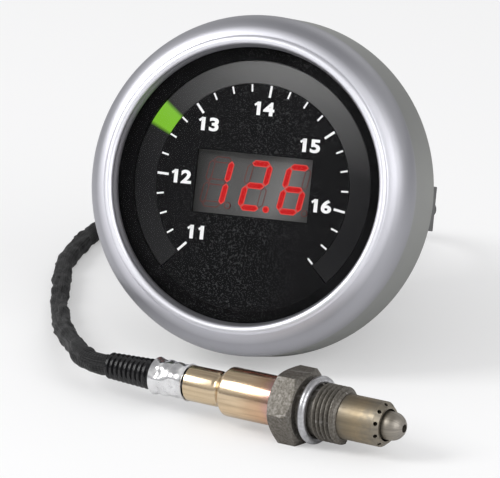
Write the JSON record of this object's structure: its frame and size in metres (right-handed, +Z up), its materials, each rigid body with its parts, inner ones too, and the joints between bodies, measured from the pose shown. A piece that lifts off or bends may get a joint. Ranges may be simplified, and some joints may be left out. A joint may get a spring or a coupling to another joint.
{
  "type": "air fuel ratio gauge",
  "caption": "Round dash gauge with an arc of lights and a digital readout, leaning back on its bezel, and its exhaust gas sensor on a coiled lead.",
  "frame": {"origin": "middle of the underside of gauge and sensor together, on the surface that both lie on", "axes": "+Z up, the dial faces -Y and leans back, +X to the right of someone who reads the dial"},
  "size_m": [0.0971, 0.128, 0.0606],
  "materials": {
    "satin_aluminium": "satin anodised",
    "clear_lens": "clear polished plastic",
    "black_rubber": "matt",
    "dial_black": "printed matt black",
    "smoked_window": "smoked, translucent",
    "digit_red": "lit red",
    "baffle_white": "white moulding",
    "board_green": "solder mask",
    "black_plastic": "fine moulded texture",
    "natural_plastic": "moulded",
    "pin_gold": "plated",
    "zinc_steel": "zinc plated",
    "can_aluminium": "smooth",
    "switch_blue": "moulded",
    "hex_steel": "dull machined steel",
    "washer_steel": "bright",
    "tube_steel": "heat tinted",
    "gold_shell": "gold passivated, heat tinted",
    "ferrule_silver": "bright, crimped",
    "ceramic": "fired ceramic",
    "boot_rubber": "glossy",
    "sleeve_black": "woven sleeve",
    "wire_grey": "smooth"
  },
  "bodies": {
    "gauge": {"spacer_ring": "dial_black", "faceplate": "dial_black", "arc_window": "smoked_window", "display_window": "smoked_window", "display_block": "black_plastic", "digit_segments": "digit_red", "light_baffle": "baffle_white", "arc_leds": "natural_plastic", "led_board": "board_green", "board_header": "black_plastic", "header_pins": "pin_gold", "board_pillars": "pin_gold", "main_board": "board_green", "control_chips": "black_plastic", "capacitors": "can_aluminium", "cup": "black_plastic", "case_screws": "zinc_steel", "sensor_socket": "black_plastic", "power_socket": "natural_plastic", "sensor_pins": "pin_gold", "power_pins": "pin_gold", "selector_switch": "switch_blue", "bracket_studs": "zinc_steel", "hex_body": "hex_steel", "outer_tube": "tube_steel", "inner_tube": "tube_steel", "sensing_element": "ceramic", "lower_insulator": "ceramic", "powder_seal": "ceramic", "upper_insulator": "ceramic", "lower_shell": "gold_shell", "upper_shell": "gold_shell", "contact_holder": "ceramic", "crimp_ferrule": "ferrule_silver", "wire_grommet": "black_rubber", "sensor_wires": "wire_grey", "ribbed_boot": "boot_rubber", "sensor_lead": "sleeve_black", "lead_coil": "sleeve_black", "coil_tie": "black_plastic", "plug_lead": "sleeve_black", "lead_plug": "black_plastic", "plug_seal": "black_rubber"},
    "lens_carrier": {"lens": "clear_lens", "lens_gasket": "black_rubber"},
    "bezel": {"bezel": "satin_aluminium"},
    "selector": {"selector_rotor": "natural_plastic"},
    "washer": {"sealing_washer": "washer_steel"}
  },
  "joints": [
    {"name": "lens_lift", "type": "slide", "parent": "gauge", "child": "lens_carrier", "axis": [0, -0.9548, 0.2973], "range_m": [0, 0.00905]},
    {"name": "bezel_turn", "type": "hinge", "parent": "lens_carrier", "child": "bezel", "pos_m": [-0.007, -0.002, 0.03197], "axis": [0, -0.9548, 0.2973], "range_deg": [0, 2160]},
    {"name": "selector_turn", "type": "hinge", "parent": "gauge", "child": "selector", "pos_m": [-0.007, 0.03475, 0.02891], "axis": [0, 0.9548, -0.2973], "continuous": true},
    {"name": "washer_spin", "type": "hinge", "parent": "gauge", "child": "washer", "pos_m": [0.01915, -0.04131, 0.006], "axis": [0.9703, -0.2419, 0], "continuous": true}
  ],
  "couplings": [
    {"joint": "lens_lift", "follows": "bezel_turn", "m_per_rad": 0.00023873}
  ]
}
